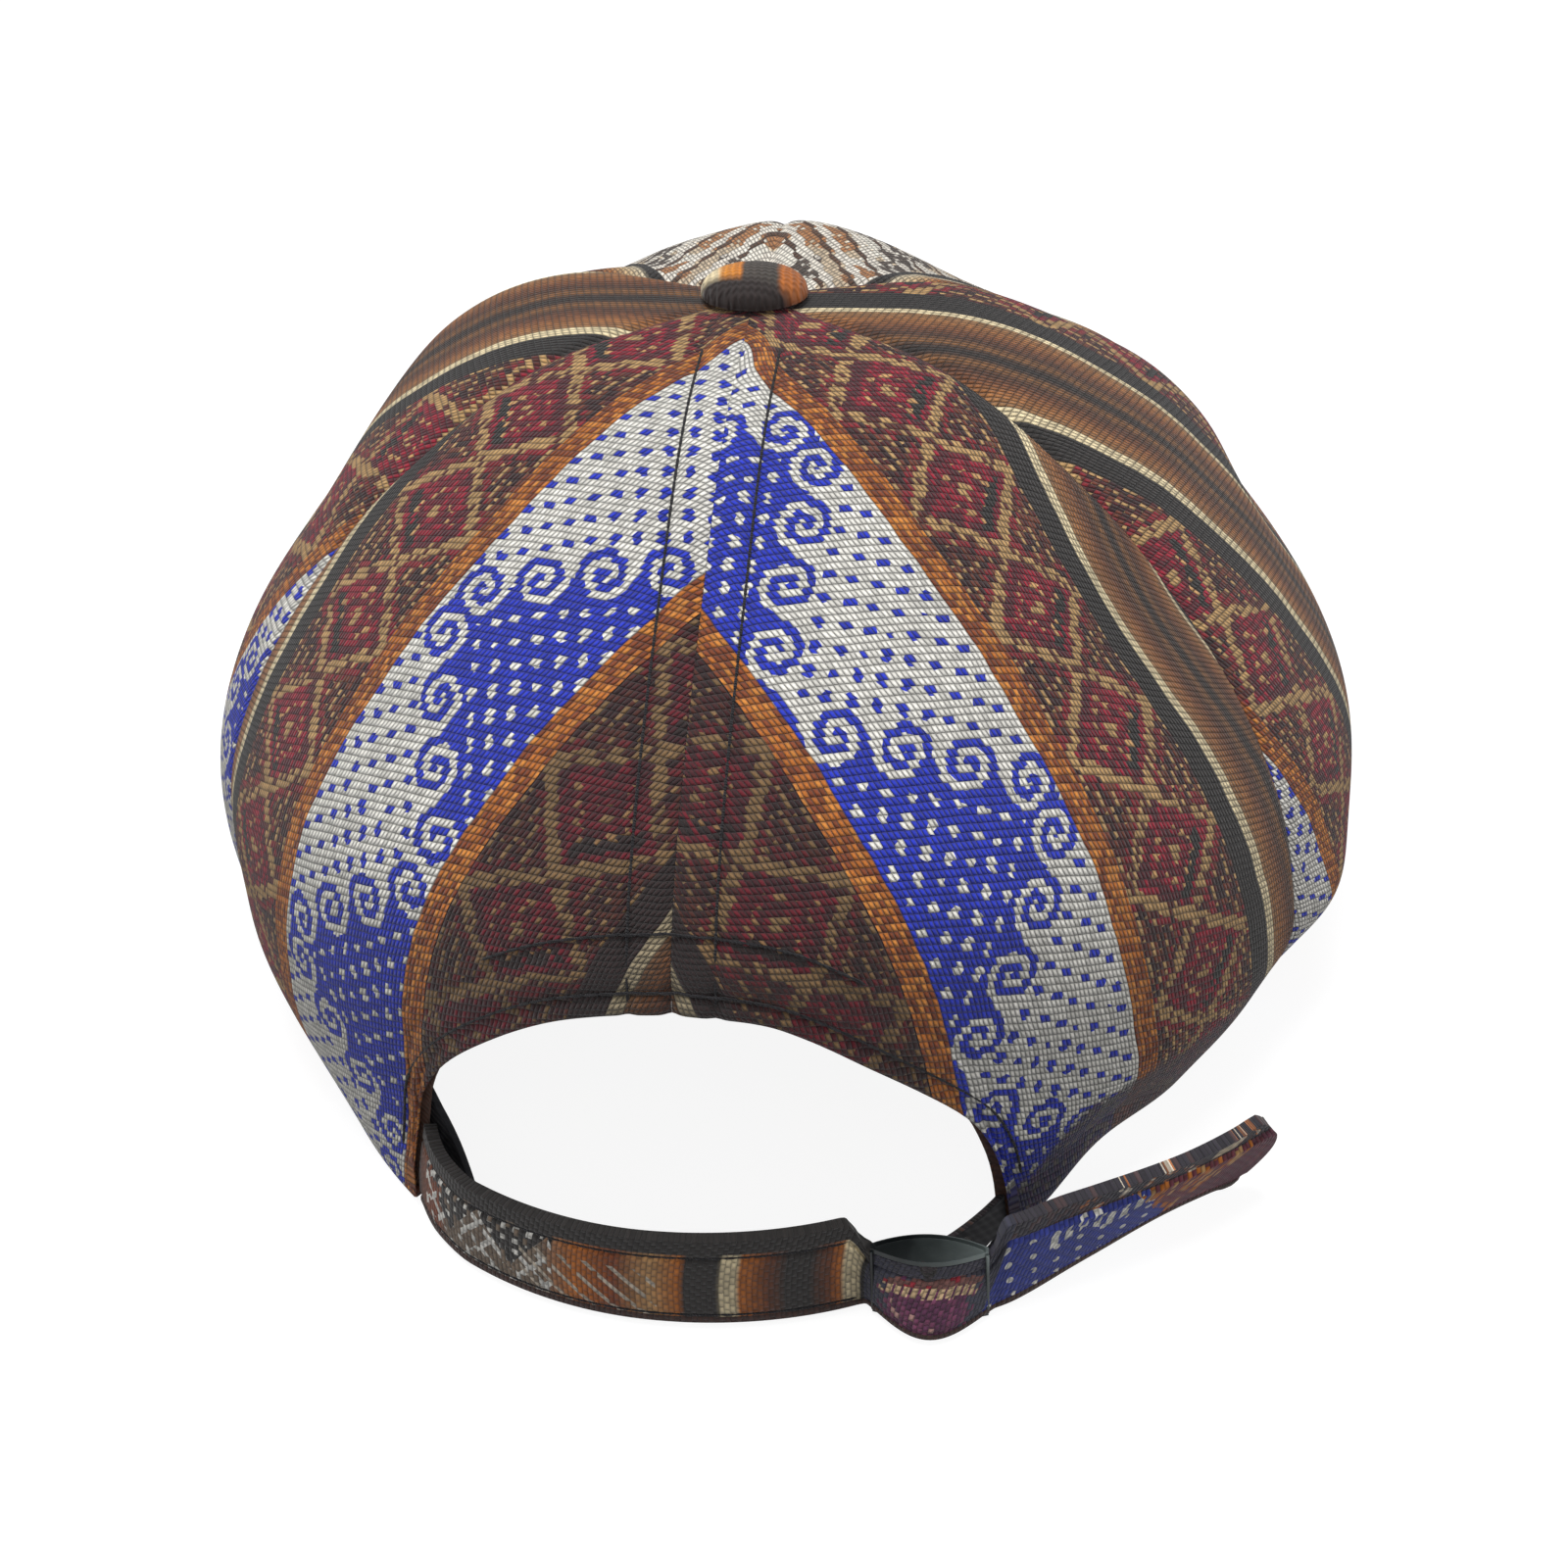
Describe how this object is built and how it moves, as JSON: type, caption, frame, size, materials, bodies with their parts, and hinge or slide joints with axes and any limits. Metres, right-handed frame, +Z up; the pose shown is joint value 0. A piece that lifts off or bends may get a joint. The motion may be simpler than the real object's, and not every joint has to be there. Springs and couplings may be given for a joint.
{
  "type": "soft cap",
  "caption": "Soft panelled cap in banded woven cloth, with a curved peak and a cloth strap through a metal slide across the arch at the back.",
  "frame": {"origin": "middle of the head opening, on the surface that the cap rests on", "axes": "+Z up through the crown, +Y towards the peak, +X to the right as the back is seen"},
  "size_m": [0.2026, 0.2693, 0.1183],
  "materials": {
    "blue_cloth": "woven wool, blue and white dotted bands with crimson and beige between",
    "red_cloth": "woven wool, crimson and beige diamonds on brown",
    "cream_cloth": "woven wool, cream, tan and brown stripes",
    "button_cloth": "striped woven cloth over a button",
    "black_band": "plain black cotton",
    "peak_cloth": "plain brown woven cloth over a stiff board",
    "strap_cloth": "woven cloth, brown, black and cream",
    "grey_metal": "dark grey-green plated metal"
  },
  "bodies": {
    "root": {"panel_back_left": "blue_cloth", "panel_back_right": "blue_cloth", "panel_side_left": "red_cloth", "panel_side_right": "red_cloth", "panel_front_left": "cream_cloth", "panel_front_right": "cream_cloth", "button": "button_cloth", "sweatband": "black_band", "peak": "peak_cloth", "strap": "strap_cloth", "strap_tab": "black_band", "buckle": "grey_metal"}
  },
  "joints": []
}
